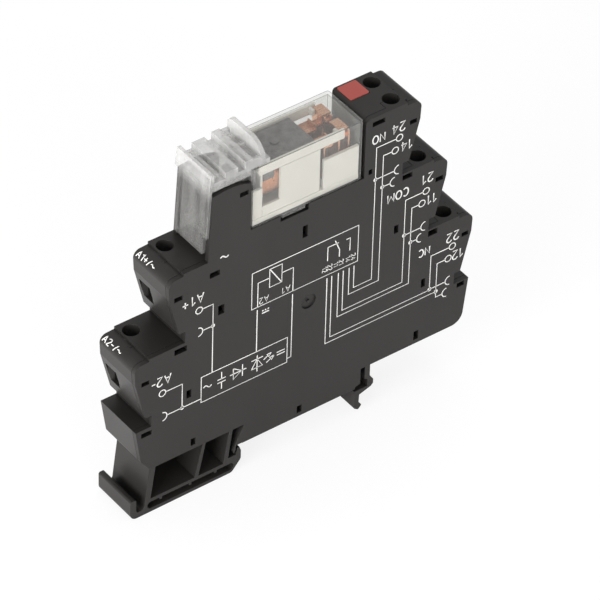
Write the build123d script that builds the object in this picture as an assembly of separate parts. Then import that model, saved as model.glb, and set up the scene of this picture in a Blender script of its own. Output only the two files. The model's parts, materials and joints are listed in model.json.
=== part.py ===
from build123d import *
from math import radians, tan
import os

# Interface relay for a 35 mm mounting rail, in millimetres.
# Origin: centre of the seat that rests on the rail. X runs along the module,
# Y across its width with the printed side at -Y, and Z points away from the rail.

# Module
module_width = 12.8
wall = 1.2
cover_thickness = 1.1
seam = 0.1
belly_height = 5.1
rail_width = 35.0
rail_flange = 1.0
rail_clearance = 0.1

# Terminal steps: three on the contact side, two on the coil side
step_height = 19.05
step_drop = 16.0
lowest_top = 36.15
contact_end = 44.7
contact_pitch = 7.8
coil_end = -44.2
coil_pitch = 8.5
notch_inset = 4.4
slope_inset = 2.8
upright_drop = 5.8
upright_lean = 0.25
ear_length = 3.8
ear_drop = 0.7
ear_fall = 0.2
ear_radius = 1.8
ledge_inset = 0.35
ledge_taper = 1.4
ledge_radius = 3.0

# Screw clamps
screw_inset = 5.95
screw_spacing = 6.6
screw_hole = 3.8
screw_diameter = 2.5
head_diameter = 3.4
head_height = 1.6
head_depth = 3.6
shank_length = 4.0
slot_width = 0.5
slot_depth = 0.8
yoke_length = 4.2
yoke_width = 3.5
cage_clearance = 0.05
yoke_top = 1.5
yoke_floor = 0.8
yoke_opening = 4.7
yoke_travel = 2.0
thread_clearance = 0.03
lift_clearance = 0.1
boss_diameter = 5.0
partition = 0.9
tongue_length = 5.4
tongue_reach = 2.0

# Wire entries
entry_width = 3.9
entry_height = 5.2
entry_drop = 7.8
throat_width = 2.5
throat_height = 3.2
mouth_depth = 1.5
funnel_depth = 1.2
collar_depth = 3.5
collar_margin = 0.8

# Relay bay and the tower that carries the retaining clip
bay_floor = 58.9
bay_start = -14.8
bay_end = 14.5
bay_corner_radius = 1.5
far_corner_radius = 1.3
tower_left_foot = -25.7
tower_left_head = -24.7
tower_left_height = 72.2
tower_crown_x = -19.2
tower_crown_height = 72.9
tower_crown_radius = 12.0
tower_right_height = 71.5
tower_wall = 1.1
tower_inset = 0.4

# Retaining clip
clip_pivot_x = -22.5
clip_pivot_z = 60.2
clip_pin_radius = 1.2
clip_pin_reach = 0.5
clip_pin_clearance = 0.05
clip_hub_radius = 1.9
clip_wall = 0.7
clip_cheek = 0.9
clip_clearance = 0.2
clip_foot = 57.0
clip_flank_start = 61.5
clip_head_bottom = 73.2
clip_head_left = -25.5
clip_foot_left = -26.4
clip_tab_top = 80.2
clip_over_relay = 0.2
finger_width = 4.0
finger_gap = 0.1

# Marker tag in the roof of the top contact step
tag_left = 15.9
tag_right = 20.8
tag_near = 0.9
tag_far = 5.9
tag_thickness = 0.6
tag_seat = 0.45
tag_clearance = 0.05
tag_radius = 0.4

# Plug-in relay
relay_start = -14.6
relay_length = 28.6
relay_width = 12.4
relay_height = 15.6
case_wall = 0.5
base_thickness = 1.3
base_clearance = 0.05
pin_thickness = 0.5
pin_width = 1.0
pin_length = 3.5
pin_spacing = 7.5
coil_pin_inset = 3.0
first_contact_inset = 16.0
contact_row_pitch = 5.0
pin_clearance = 0.2

# Relay mechanism
card_left = -12.1
card_right = 9.6
card_bar = 0.7
yoke_left = -11.1
lug_thickness = 0.6
rivet_places = (-8.6, -4.6)
yoke_rivet_radius = 1.0
yoke_rivet_height = 0.3
open_contact_reach = 1.6
spring_foot = 62.5
spring_head_x = 10.8
spring_thickness = 0.4
contact_strip_width = 3.4
contact_strip_y = 2.9
armature_thickness = 1.2
armature_half_width = 4.2
armature_left = -13.4
yoke_plate = 1.2
core_radius = 2.2
bobbin_radius = 2.75
winding_radius = 4.3
hood_left = -13.9
hood_right = 3.4
hood_wall = 0.6
hood_half = 5.5
hood_clearance = 0.1
hood_roof_right = 0.7
window_left = -11.4
window_right = -6.8
window_bottom = 62.8
hood_end_top = 67.8
iron_half_width = 4.6
iron_clearance = 0.6
card_space = 0.9
card_rail = 0.6
card_finger = 1.9
lug_left = -10.6
lug_right = -7.8
lug_bottom = 68.6
rivet_radius = 0.9
contact_drop = 3.2

# Busbars and pin sockets
strip_thickness = 0.8
strip_width = 2.2
tab_overhang = 1.8
prong = 0.5
prong_gap = 0.6
prong_foot = 52.0
prong_top = 57.6

# Circuit board
board_left = -24.5
board_right = -4.0
board_bottom = 9.0
board_headroom = 5.2
board_near = -1.6
board_thickness = 1.0
led_x = -20.2
led_y = 1.4
led_diameter = 3.0

# Rail foot and hook
foot_near = -6.1
foot_far = 5.7
web = 1.2

# Values that follow from the sizes above
half = module_width / 2
near = -half
inner_near = near + cover_thickness
rim = inner_near + seam
far_inner = half - wall
over = 1.0
screw_y = screw_spacing / 2
seat_half = rail_width / 2
relay_top = bay_floor + relay_height
relay_end = relay_start + relay_length
relay_half = relay_width / 2
pin_y = pin_spacing / 2
head_bottom_drop = head_depth + head_height
tab_drop = head_bottom_drop + shank_length + strip_thickness / 2 + lift_clearance / 2
yoke_top_drop = head_bottom_drop + lift_clearance + yoke_travel
yoke_height = yoke_top + yoke_opening + yoke_floor
coil_pin_x = relay_start + coil_pin_inset
nc_pin_x = relay_start + first_contact_inset
com_pin_x = nc_pin_x + contact_row_pitch
no_pin_x = com_pin_x + contact_row_pitch
far_wall_from = half - tower_inset - tower_wall
board_far = board_near + board_thickness
board_top = lowest_top + step_height - board_headroom

nodes = {}


def fitting_radius(before, corner, after, radius):
    """The radius of a corner, kept within what its two sides leave room for."""
    behind = Vector(*before) - Vector(*corner)
    ahead = Vector(*after) - Vector(*corner)
    room = min(behind.length, ahead.length) * tan(radians(behind.get_angle(ahead) / 2))
    return min(radius, 0.9 * room)


def outline(points, radii=None):
    """Closed XZ face through points; radii rounds the corners that it numbers."""
    rounds = radii or {}
    corner = [rounds.get(i, 0) for i in range(len(points))]
    return make_face(FilletPolyline(*points, radius=corner, close=True))


def slab(face, y_from, y_to):
    """An XZ face carried across the width from y_from to y_to."""
    return extrude(Plane.XZ.offset(-y_to) * face, y_to - y_from)


def block(x_from, x_to, y_from, y_to, z_from, z_to):
    """A plain block between two corners."""
    size = Box(x_to - x_from, y_to - y_from, z_to - z_from)
    return Pos((x_from + x_to) / 2, (y_from + y_to) / 2, (z_from + z_to) / 2) * size


def bar_x(y, z, radius, x_from, x_to):
    """A round bar along X."""
    return Pos((x_from + x_to) / 2, y, z) * Rot(0, 90, 0) * Cylinder(radius, x_to - x_from)


def bar_y(x, z, radius, y_from, y_to):
    """A round bar along Y."""
    return Pos(x, (y_from + y_to) / 2, z) * Rot(90, 0, 0) * Cylinder(radius, y_to - y_from)


def bar_z(x, y, radius, z_from, z_to):
    """A round bar along Z."""
    return Pos(x, y, (z_from + z_to) / 2) * Cylinder(radius, z_to - z_from)


def bent_strip(points, thickness, y_from, y_to):
    """A strip bent square along points in XZ, as wide as y_from to y_to."""
    grow = thickness / 2
    strip = None
    for (xa, za), (xb, zb) in zip(points, points[1:]):
        x_low, x_high = min(xa, xb) - grow, max(xa, xb) + grow
        z_low, z_high = min(za, zb) - grow, max(za, zb) + grow
        run = block(x_low, x_high, y_from, y_to, z_low, z_high)
        strip = strip + run if strip else run
    return strip


def coil_step(level):
    """Outer end, top and inward direction of a step on the coil side."""
    return coil_end + level * coil_pitch, lowest_top + level * step_height, 1


def contact_step(level):
    """Outer end, top and inward direction of a step on the contact side."""
    return contact_end - level * contact_pitch, lowest_top + level * step_height, -1


def span(step, inset_from, inset_to):
    """X range of a step between two insets from its outer end."""
    end, _, inward = step
    return sorted((end + inward * inset_from, end + inward * inset_to))


# Terminals: step, place across the width and name
contact_names = {0: ("22", "12"), 1: ("21", "11"), 2: ("24", "14")}
terminals = []
for level, (near_name, far_name) in contact_names.items():
    terminals.append((contact_step(level), -screw_y, near_name))
    terminals.append((contact_step(level), screw_y, far_name))
terminals.append((coil_step(1), screw_y, "a1"))
terminals.append((coil_step(0), screw_y, "a2"))
steps = [contact_step(0), contact_step(1), contact_step(2), coil_step(0), coil_step(1)]


def screw_x(step):
    """Screw axis of a step."""
    return step[0] + step[2] * screw_inset


def step_points(step, ear):
    """Edge of a step, from the notch below it up to its top."""
    end, top, inward = step
    points = [
        (end + inward * notch_inset, top - step_height),
        (end + inward * notch_inset, top - step_drop),
        (end + inward * slope_inset, top - step_drop),
        (end + inward * upright_lean, top - upright_drop),
    ]
    if ear:
        points.append((end, top - ear_drop - ear_fall))
        points.append((end + inward * ear_length, top - ear_drop))
        points.append((end + inward * ear_length, top))
    else:
        points.append((end + inward * upright_lean, top))
    return points


def left_edge(ear):
    """Left side of the body, from the belly up to the top of the coil steps."""
    ledge_end = coil_end + ledge_inset
    points = [
        (ledge_end + 2.7 * ledge_taper, belly_height),
        (ledge_end + ledge_taper, belly_height + 2.2 * ledge_taper),
        (ledge_end, lowest_top - step_height),
    ]
    return points + step_points(coil_step(0), ear) + step_points(coil_step(1), ear)


def right_edge(ear):
    """Right side of the body, from the top contact step down to the belly."""
    ledge_end = contact_end - ledge_inset
    points = [(ledge_end - ledge_taper, belly_height), (ledge_end, lowest_top - step_height)]
    for level in range(3):
        points += step_points(contact_step(level), ear)
    return points[::-1]


# Underside of the body round the rail seat
seat_left = -15.9
seat_right = 14.2
seat_relief = 0.1
body_right = 15.6
nib_height = 0.9
slant_top = -15.5
tooth_x = -seat_half - rail_clearance
tooth_bottom = -2.0
tooth_back = -18.4


def belly_points():
    """Underside between the right edge and the left edge."""
    return [
        (body_right, belly_height),
        (body_right, nib_height),
        (seat_right, nib_height / 2),
        (seat_right, 0),
        (seat_left, 0),
        (seat_left, seat_relief),
        (tooth_x, seat_relief),
        (tooth_x, tooth_bottom / 2),
        (tooth_x - 0.5, tooth_bottom),
        (tooth_back, tooth_bottom / 2),
        (slant_top, belly_height),
    ]


# Top of the tower, from its left corner over the crown to the relay bay
tower_top = [
    (tower_left_head, tower_left_height),
    (tower_crown_x, tower_crown_height),
    (bay_start - over / 10, tower_right_height),
]
crown_radius = fitting_radius(*tower_top, tower_crown_radius)


def body_face(with_tower):
    """Outline of the module seen from the printed side."""
    points = left_edge(True)
    if with_tower:
        points.append((tower_left_foot, lowest_top + step_height))
        points += tower_top
        points.append((bay_start - over / 10, bay_floor))
    else:
        points += [(bay_start, lowest_top + step_height), (bay_start, bay_floor)]
    block_top = contact_step(2)[1]
    points += [(bay_end, bay_floor), (bay_end, block_top)]
    points += right_edge(True) + belly_points()
    ear_levels = [step[1] - ear_drop - ear_fall for step in steps]
    radii = {i: ear_radius for i, point in enumerate(points) if point[1] in ear_levels}
    radii[1] = ledge_radius / 2
    radii[points.index((bay_end, block_top))] = bay_corner_radius
    ledge_corner = (contact_end - ledge_inset - ledge_taper, belly_height)
    radii[points.index(ledge_corner)] = ledge_radius
    if with_tower:
        radii[points.index(tower_top[1])] = crown_radius
    return outline(points, radii)


def inset(points, distance):
    """Corners of a clockwise outline moved inward by a distance, with sharp corners."""
    moved = []
    for i, point in enumerate(points):
        here = Vector(*point)
        ahead = (Vector(*points[(i + 1) % len(points)]) - here).normalized()
        behind = (here - Vector(*points[i - 1])).normalized()
        normal = Vector(ahead.Y + behind.Y, -ahead.X - behind.X)
        corner = here + normal * (distance / (1 + ahead.dot(behind)))
        moved.append((corner.X, corner.Y))
    return moved


def hollow_face():
    """Outline of the space inside the housing, one wall in from the body."""
    points = left_edge(False)
    points += [(bay_start, lowest_top + step_height), (bay_start, bay_floor)]
    points += [(bay_end, bay_floor), (bay_end, contact_step(2)[1])]
    points += right_edge(False)
    points += [(body_right, belly_height), (body_right, 0), (tooth_x, 0), (slant_top, belly_height)]
    return outline(inset(points, wall))


def collar(step, y_from, y_to):
    """Solid stretch behind the face of a step, which the wire entries pass."""
    x_from, x_to = span(step, 0, collar_depth)
    z_to = step[1] - entry_drop + collar_margin
    z_from = step[1] - entry_drop - entry_height - collar_margin
    return block(x_from, x_to, y_from, y_to, z_from, z_to)


def wire_entry(step, y):
    """Funnel that leads a wire from the face of a step to its clamp."""
    end, top, inward = step
    y_from = rim - over if y < 0 else y - entry_width / 2
    y_to = y + entry_width / 2
    z_low = top - entry_drop - entry_height
    z_high = top - entry_drop
    x_from, x_to = span(step, -over, mouth_depth)
    mouth = block(x_from, x_to, y_from, y_to, z_low, z_high)
    wide = Plane.YZ.offset(end + inward * mouth_depth) * make_face(
        Polyline((y_from, z_low), (y_to, z_low), (y_to, z_high), (y_from, z_high), close=True)
    )
    side = throat_width / 2
    narrow = Plane.YZ.offset(end + inward * (mouth_depth + funnel_depth)) * make_face(
        Polyline(
            (y - side, z_low),
            (y + side, z_low),
            (y + side, z_low + throat_height),
            (y - side, z_low + throat_height),
            close=True,
        )
    )
    x_from, x_to = span(step, mouth_depth + funnel_depth, collar_depth + over / 5)
    throat = block(x_from, x_to, y - side, y + side, z_low, z_low + throat_height)
    return mouth + loft([wide, narrow]) + throat


def boss(step, y):
    """Guide under the roof of a step that holds a screw head upright."""
    radius = boss_diameter / 2
    x = screw_x(step)
    guide = bar_z(x, y, radius, step[1] - head_bottom_drop + lift_clearance, step[1] - wall / 2)
    y_from = max(y - radius, rim + wall / 2)
    return guide & block(x - radius, x + radius, y_from, far_inner + wall / 2, 0, step[1])


def partition_wall(step):
    """Wall between the near and the far clamp chamber of a step."""
    x_from, x_to = span(step, collar_depth - over / 2, screw_inset + yoke_length / 2 + over / 2)
    z_from = step[1] - yoke_top_drop - yoke_height
    return block(x_from, x_to, -partition / 2, partition / 2, z_from, step[1] - wall / 2)


def tongue(step, grow):
    """Tongue of the cover round the near half of a screw hole."""
    x = screw_x(step)
    reach = tongue_length / 2 + grow
    y_to = inner_near + tongue_reach + grow
    return block(x - reach, x + reach, inner_near, y_to, step[1] - wall - grow, step[1])


def screw_opening(step, y):
    """Hole through which the driver reaches a clamp screw."""
    bottom = step[1] - head_bottom_drop - over
    return bar_z(screw_x(step), y, screw_hole / 2, bottom, step[1] + over)


def pin_slots(from_z, to_z, clearance):
    """Slots for the eight relay pins."""
    slots = None
    for x in (coil_pin_x, nc_pin_x, com_pin_x, no_pin_x):
        for y in (-pin_y, pin_y):
            x_half = pin_thickness / 2 + clearance
            y_half = pin_width / 2 + clearance
            slot = block(x - x_half, x + x_half, y - y_half, y + y_half, from_z, to_z)
            slots = slots + slot if slots else slot
    return slots


# Outline of the sprung foot and of the fixed hook, seen from the printed side
foot_outline = [
    (-40.0, belly_height + 0.3),
    (-41.0, -2.6),
    (-41.4, -6.1),
    (-43.4, -6.1),
    (-43.4, -2.3),
    (-44.9, -2.3),
    (-44.9, -7.6),
    (-18.4, -7.4),
    (-16.0, -4.6),
    (-16.0, -2.2),
    (-16.4, -rail_flange - rail_clearance),
    (-17.0, -rail_flange - rail_clearance),
    (-17.4, -2.9),
    (-19.4, -2.9),
    (-18.2, belly_height + 0.3),
]
foot_radii = {1: 3.0, 2: 1.1, 3: 0.7, 4: 0.5, 5: 0.5, 6: 1.7, 7: 1.2, 8: 1.4}
foot_cells = [
    [(-38.4, belly_height), (-39.7, -3.8), (-28.2, -3.8), (-26.1, belly_height)],
    [(-25.3, belly_height), (-27.2, -3.8), (-20.7, -3.8), (-19.2, belly_height)],
]
channel_left = -40.5
channel_right = -17.9
channel_bottom = -6.6
channel_top = -4.7
nub_places = (-37.0, -29.3, -22.7)
nub_size = 0.6
hook_outline = [
    (18.4, belly_height + 0.3),
    (18.4, 1.7),
    (19.4, 0.2),
    (19.4, -1.0),
    (18.8, -1.6),
    (15.7, -2.6),
    (15.6, -4.6),
    (16.4, -5.8),
    (15.5, -6.8),
    (14.5, -6.1),
    (14.3, -rail_flange - rail_clearance),
    (17.8, -rail_flange - rail_clearance),
    (17.8, 0.9),
    (17.0, 1.3),
    (17.0, belly_height + 0.3),
]
hook_radii = {2: 0.6, 3: 0.5, 7: 0.4, 8: 0.4}


def rail_foot():
    """Sprung foot with its web on the far side, cells, channel and release lip."""
    foot = slab(outline(foot_outline, foot_radii), foot_near, foot_far)
    for cell in foot_cells:
        foot -= slab(outline(cell), foot_near - over, foot_far - web)
    end_radius = (channel_top - channel_bottom) / 2 - 0.05
    channel = outline(
        [
            (channel_left, channel_bottom),
            (channel_left, channel_top),
            (channel_right, channel_top),
            (channel_right, channel_bottom),
        ],
        {i: end_radius for i in range(4)},
    )
    foot -= slab(channel, foot_near - over, foot_far + over)
    for x in nub_places:
        z_from = channel_top - nub_size
        foot += block(x - nub_size / 2, x + nub_size / 2, foot_near, foot_far, z_from, channel_top)
    return foot


def rail_hook():
    """Fixed hook with its thin leg and the catch under the rail's edge."""
    return slab(outline(hook_outline, hook_radii), foot_near, foot_far)


def below_cover():
    """Space over the belly that the cover's lower edge takes."""
    return block(-half * 10, half * 10, foot_near - over, rim, belly_height - seam, belly_height + over)


def far_corner():
    """What the rounded far corner of the block beside the relay bay leaves away."""
    edge = bay_end + far_corner_radius
    side = half - far_corner_radius
    corner = block(bay_end - over, edge, side, half + over, bay_floor, contact_step(2)[1] + over)
    return corner - bar_z(edge, side, far_corner_radius, bay_floor - over, contact_step(2)[1] + 2 * over)


def tag_pocket():
    """Shallow pocket in the roof of the top contact step for the marker tag."""
    top = contact_step(2)[1]
    gap = tag_clearance
    return block(tag_left - gap, tag_right + gap, tag_near - gap, tag_far + gap, top - tag_seat, top + over)


def housing():
    """Main moulding: far side, edges, clamp chambers, foot, hook and far tower wall."""
    body = slab(body_face(False), rim, half)
    hollow = slab(hollow_face(), rim - over, far_inner)
    for step in steps:
        y_from = rim - over if step[2] < 0 else -partition / 2
        hollow -= collar(step, y_from, half)
    body -= hollow
    tower_root = lowest_top + step_height - wall / 2
    tower = [(tower_left_foot, tower_root)] + tower_top + [(bay_start - over / 10, tower_root)]
    body += slab(outline(tower, {2: crown_radius}), far_wall_from, half - tower_inset)
    for step in steps:
        body += partition_wall(step)
    for step, y, _ in terminals:
        body += boss(step, y)
    for step in steps:
        if step[2] < 0:
            body -= tongue(step, seam)
    for step, y, _ in terminals:
        body -= screw_opening(step, y)
        body -= wire_entry(step, y)
    body -= pin_slots(bay_floor - wall - over, bay_floor + over, pin_clearance)
    pivot_to = far_wall_from + clip_pin_reach + clip_clearance + seam
    pivot_radius = clip_pin_radius + clip_pin_clearance
    body -= bar_y(clip_pivot_x, clip_pivot_z, pivot_radius, far_wall_from - over, pivot_to)
    finger_half = finger_width / 2 + clip_clearance
    body -= block(bay_start - over, bay_start + 2.6, -finger_half, finger_half, clip_foot + 0.2, bay_floor + over)
    led_hole = led_diameter / 2 + clip_clearance
    body -= bar_z(led_x, led_y, led_hole, board_top, lowest_top + step_height + over)
    for x in (board_left + over, board_right - over):
        for z in (board_bottom + over, board_top - 2.5 * over):
            body += bar_y(x, z, over, board_far, far_inner + wall / 2)
    body += rail_foot() + rail_hook()
    body -= below_cover()
    return body - far_corner() - tag_pocket()


# Windows of the snap hooks and inspection slots through the cover: x and z ranges
cover_windows = [
    (-17.8, -15.6, 68.9, 70.1),
    (-25.2, -22.6, 50.6, 52.0),
    (-34.2, -32.1, 48.4, 49.6),
    (-22.9, -21.3, 39.5, 42.0),
    (-34.0, -30.8, 33.8, 35.3),
    (-42.4, -40.4, 29.3, 30.4),
    (-30.8, -29.55, 20.25, 22.4),
    (-42.4, -39.7, 14.9, 16.15),
    (-29.55, -28.3, 6.2, 8.1),
    (-1.3, 0.0, 50.1, 53.3),
    (-1.5, -0.2, 1.0, 3.0),
    (29.8, 31.1, 6.2, 8.6),
    (31.2, 32.3, 20.5, 22.8),
    (41.2, 43.2, 15.6, 16.8),
    (23.1, 24.3, 39.5, 41.7),
    (32.5, 35.0, 34.2, 35.7),
    (41.8, 43.6, 29.7, 30.8),
    (33.8, 35.9, 48.7, 49.9),
    (24.8, 27.4, 53.4, 54.7),
    (15.6, 16.6, 59.2, 60.5),
    (26.1, 28.0, 67.9, 69.0),
    (16.2, 19.5, 71.8, 73.0),
]
catch_notch = (-7.2, 0.1, 57.4)
dimple = (0.8, 31.7)
dimple_radius = 1.9
dimple_depth = 0.35
pip_radius = 0.35


def side_cover():
    """Printed side: flat cover with the near tower wall, snap windows and tongues."""
    cover = slab(body_face(True), near, inner_near)
    for step in steps:
        if step[2] < 0:
            cover += tongue(step, 0)
            cover -= screw_opening(step, -screw_y)
    for x_from, x_to, z_from, z_to in cover_windows:
        cover -= block(x_from, x_to, near - over, inner_near + over, z_from, z_to)
    x_from, x_to, z_from = catch_notch
    cover -= block(x_from, x_to, near - over, inner_near + over, z_from, bay_floor + over)
    x, z = dimple
    cover -= bar_y(x, z, dimple_radius, near - over, near + dimple_depth)
    cover += bar_y(x, z, pip_radius, near, near + dimple_depth)
    pivot_radius = clip_pin_radius + clip_pin_clearance
    pivot_from = inner_near - clip_pin_reach - seam
    cover -= bar_y(clip_pivot_x, clip_pivot_z, pivot_radius, pivot_from, inner_near + over)
    return cover


def clamp_screw(step, y):
    """Slotted clamp screw whose head stays at its depth as it turns."""
    x = screw_x(step)
    head_top = step[1] - head_depth
    head = bar_z(x, y, head_diameter / 2, head_top - head_height, head_top)
    shank_bottom = head_top - head_height - shank_length
    shank = bar_z(x, y, screw_diameter / 2, shank_bottom, head_top - head_height)
    reach = head_diameter
    side = slot_width / 2
    slot = block(x - reach, x + reach, y - side, y + side, head_top - slot_depth, head_top + over)
    return head + shank - slot


def clamp_yoke(step, y):
    """Cage that the screw draws up, so that it presses the wire on the busbar."""
    x = screw_x(step)
    top = step[1] - yoke_top_drop
    length = yoke_length / 2
    width = yoke_width / 2
    cage = block(x - length, x + length, y - width, y + width, top - yoke_height, top)
    inner = screw_diameter / 2 + cage_clearance
    floor = top - yoke_height + yoke_floor
    cage -= block(x - yoke_length, x + yoke_length, y - inner, y + inner, floor, top - yoke_top)
    cage -= bar_z(x, y, screw_diameter / 2 + thread_clearance, top - yoke_top - over, top + over)
    return cage


def fork(x, y_from, y_to, foot):
    """Two prongs that grip a relay pin from both sides."""
    inner = prong_gap / 2
    outer = inner + prong
    left = block(x - outer, x - inner, y_from, y_to, foot, prong_top)
    right = block(x + inner, x + outer, y_from, y_to, foot, prong_top)
    base = block(x - outer, x + outer, y_from, y_to, foot - strip_thickness / 2, foot + strip_thickness / 2)
    return base + left + right


def contact_busbar(step, y, pin_x, riser_x):
    """Strip from a clamp to the socket of one contact pin."""
    side = 1 if y > 0 else -1
    y_from, y_to = sorted((side * (screw_y - strip_width / 2), side * (screw_y + strip_width / 2)))
    z = step[1] - tab_drop
    outer = screw_x(step) - step[2] * tab_overhang
    strip = bent_strip([(outer, z), (riser_x, z), (riser_x, prong_foot)], strip_thickness, y_from, y_to)
    if riser_x != pin_x:
        strip += bent_strip([(riser_x, prong_foot), (pin_x, prong_foot)], strip_thickness, y_from, y_to)
    return strip + fork(pin_x, y_from, y_to, prong_foot)


def coil_busbar(step):
    """Strip from a coil clamp to its pad on the circuit board."""
    z = step[1] - tab_drop
    y_from = screw_y - strip_width / 2
    y_to = screw_y + strip_width / 2
    outer = screw_x(step) - step[2] * tab_overhang
    inner = board_left + 3 * over
    strip = bent_strip([(outer, z), (inner, z)], strip_thickness, y_from, y_to)
    grow = strip_thickness / 2
    return strip + block(inner - over, inner + grow, board_far, y_from, z - grow, z + grow)


def coil_socket(side):
    """Socket of one coil pin with its leg to the circuit board."""
    y_from, y_to = sorted((side * (screw_y - strip_width / 2), side * (screw_y + strip_width / 2)))
    foot = board_top - 2.5
    socket = fork(coil_pin_x, y_from, y_to, prong_foot)
    socket += bent_strip([(coil_pin_x, prong_foot), (coil_pin_x, foot)], strip_thickness, y_from, y_to)
    pad = board_far if side > 0 else board_near
    leg_from, leg_to = sorted((pad, side * (screw_y - strip_width / 2)))
    grow = strip_thickness / 2
    return socket + block(coil_pin_x - grow, coil_pin_x + grow, leg_from, leg_to, foot - grow, foot + grow)


def circuit_board():
    """Board that carries the supply network of the coil."""
    return block(board_left, board_right, board_near, board_far, board_bottom, board_top)


def film_capacitor():
    """Box-shaped capacitor beside the lower edge of the board."""
    body = block(-22.0, -9.0, board_far, board_far + 4.8, 12.0, 21.5)
    return fillet(body.edges().filter_by(Axis.Y), 0.8)


def bridge_rectifier():
    """Small moulded rectifier on the board."""
    body = block(-20.5, -15.5, board_far, board_far + 2.2, 33.0, 37.6)
    return chamfer(body.faces().sort_by(Axis.Y)[-1].edges(), 0.3)


def smoothing_capacitor():
    """Round electrolytic capacitor that lies on the board."""
    return bar_z(-10.5, board_far + 2.5, 2.5, 28.5, 39.5)


def board_resistors():
    """Three resistors side by side on the board."""
    return [block(x, x + 1.6, board_far, board_far + 0.6, 41.5, 44.7) for x in (-18.0, -14.5, -11.0)]


def status_led():
    """Round lamp under the hole in the floor of the tower."""
    radius = led_diameter / 2
    lamp = bar_z(led_x, led_y, radius, board_top, board_top + 3.4)
    lamp += Pos(led_x, led_y, board_top + 3.4) * Sphere(radius)
    legs = block(led_x - 0.9, led_x + 0.9, board_far, led_y + 0.3, board_top - 2.0, board_top)
    return lamp + legs


def red_marker_tag():
    """Plain coloured tag that snaps into the roof of the top contact step."""
    bottom = contact_step(2)[1] - tag_seat
    tag = block(tag_left, tag_right, tag_near, tag_far, bottom, bottom + tag_thickness)
    return fillet(tag.edges().filter_by(Axis.Z), tag_radius)


# Profile of the clip's head from its left lip to the flange over the relay
clip_head = [
    (clip_head_left, clip_head_bottom),
    (clip_head_left + 0.6, 77.5),
    (-24.1, 77.5),
    (-24.1, 75.4),
    (-21.3, 75.4),
    (-21.3, 76.9),
    (-18.1, 76.9),
    (-18.1, 75.5),
    (-16.3, 75.5),
    (-16.3, 77.4),
    (-14.3, 77.4),
    (-14.3, 75.8),
    (-10.0, 75.8),
    (-10.0, relay_top + clip_over_relay),
    (relay_start - clip_clearance, relay_top + clip_over_relay),
    (relay_start - clip_clearance, clip_head_bottom),
]
clip_near = inner_near + clip_clearance
clip_far = far_wall_from - clip_clearance
head_half = 6.0
tab_foot = 75.6
tab_far_radius = 2.2
tab_near_radius = 4.2
tab_profile = [(-12.1, tab_foot), (-12.5, clip_tab_top), (-11.4, clip_tab_top), (-11.1, tab_foot)]


# Ledge on the floor of the marker groove: x, y and z ranges
marker_ledge = (-23.1, -22.3, -5.0, 4.2, 75.3, 76.5)


def clip_body():
    """Cheeks, left plate and cross web between the tower walls."""
    plate = outline(
        [
            (clip_foot_left, clip_foot),
            (clip_foot_left + clip_wall, clip_foot),
            (clip_head_left + clip_wall, clip_head_bottom + 0.3),
            (clip_head_left, clip_head_bottom + 0.3),
        ]
    )
    body = slab(plate, clip_near, clip_far)
    flank = slab(plate, near + clip_clearance, clip_near)
    body += flank & block(-40, -20, near, clip_near, clip_flank_start, clip_head_bottom + over)
    cheek = outline(
        [
            (clip_foot_left + clip_wall / 2, clip_foot + 0.4),
            (-19.0, clip_foot + 0.4),
            (-15.7, 61.5),
            (-15.7, clip_head_bottom + 0.3),
            (clip_head_left + clip_wall / 2, clip_head_bottom + 0.3),
        ]
    )
    body += slab(cheek, clip_near, clip_near + clip_cheek)
    body += slab(cheek, clip_far - clip_cheek, clip_far)
    body += block(-19.9, -19.1, clip_near, clip_far, 62.5, clip_head_bottom + 0.3)
    return body


def thumb_tab():
    """Thumb tab across the head, round at the far corner and swept down at the near one."""
    front = FilletPolyline(
        (-head_half, tab_foot),
        (-head_half, clip_tab_top),
        (head_half, clip_tab_top),
        (head_half, tab_foot),
        radius=[0, tab_near_radius, tab_far_radius, 0],
        close=True,
    )
    depth = extrude(Plane.YZ.offset(-over * 14) * make_face(front), 4 * over)
    return slab(outline(tab_profile), -head_half, head_half) & depth


def retaining_clip():
    """Swinging clip that holds the relay down and lifts it out."""
    clip = clip_body()
    head = slab(outline(clip_head), -head_half, head_half)
    clip += head + thumb_tab() + block(*marker_ledge)
    for y_from, y_to in ((-head_half, -head_half + 0.8), (-0.4, 0.4), (head_half - 0.8, head_half)):
        clip += block(-14.4, -12.2, y_from, y_to, 75.7, 77.0)
    reach = clip_pin_reach + clip_clearance
    clip += bar_y(clip_pivot_x, clip_pivot_z, clip_pin_radius, clip_near - reach, clip_far + reach)
    clip += bar_y(clip_pivot_x, clip_pivot_z, clip_hub_radius, clip_near, clip_far)
    finger_top = bay_floor - finger_gap
    finger = outline(
        [
            (clip_pivot_x, clip_pivot_z + 1.2),
            (bay_start - 0.4, finger_top),
            (-13.0, finger_top),
            (-12.7, finger_top - 0.4),
            (-13.1, finger_top - 1.0),
            (-16.0, clip_foot + 0.5),
            (clip_pivot_x, clip_pivot_z - 1.4),
        ]
    )
    return clip + slab(finger, -finger_width / 2, finger_width / 2)


# Heights inside the relay, from the case down to the coil and the contacts
base_top = bay_floor + base_thickness
roof = relay_top - case_wall
iron_top = roof - iron_clearance
hood_top = iron_top - yoke_plate - card_space
coil_height = hood_top - hood_wall - hood_clearance - winding_radius
contact_height = iron_top - contact_drop
run_height = bay_floor + 0.5
block_foot = base_top + 1.8
shoulder_top = base_top + 1.7

# Places along the relay
strip_y_from = contact_strip_y - contact_strip_width / 2
strip_y_to = contact_strip_y + contact_strip_width / 2
coil_left = -11.3
coil_right = 1.2
flange = 0.5
yoke_x = 1.4
core_left = -11.75
block_left = 4.4
block_right = 13.4
block_top = 67.8
block_half = 5.6
nc_riser_x = 5.1
spring_x = 8.9
no_riser_x = no_pin_x
catch_left = -6.7
catch_right = -0.7
catch_drop = 0.9


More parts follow.
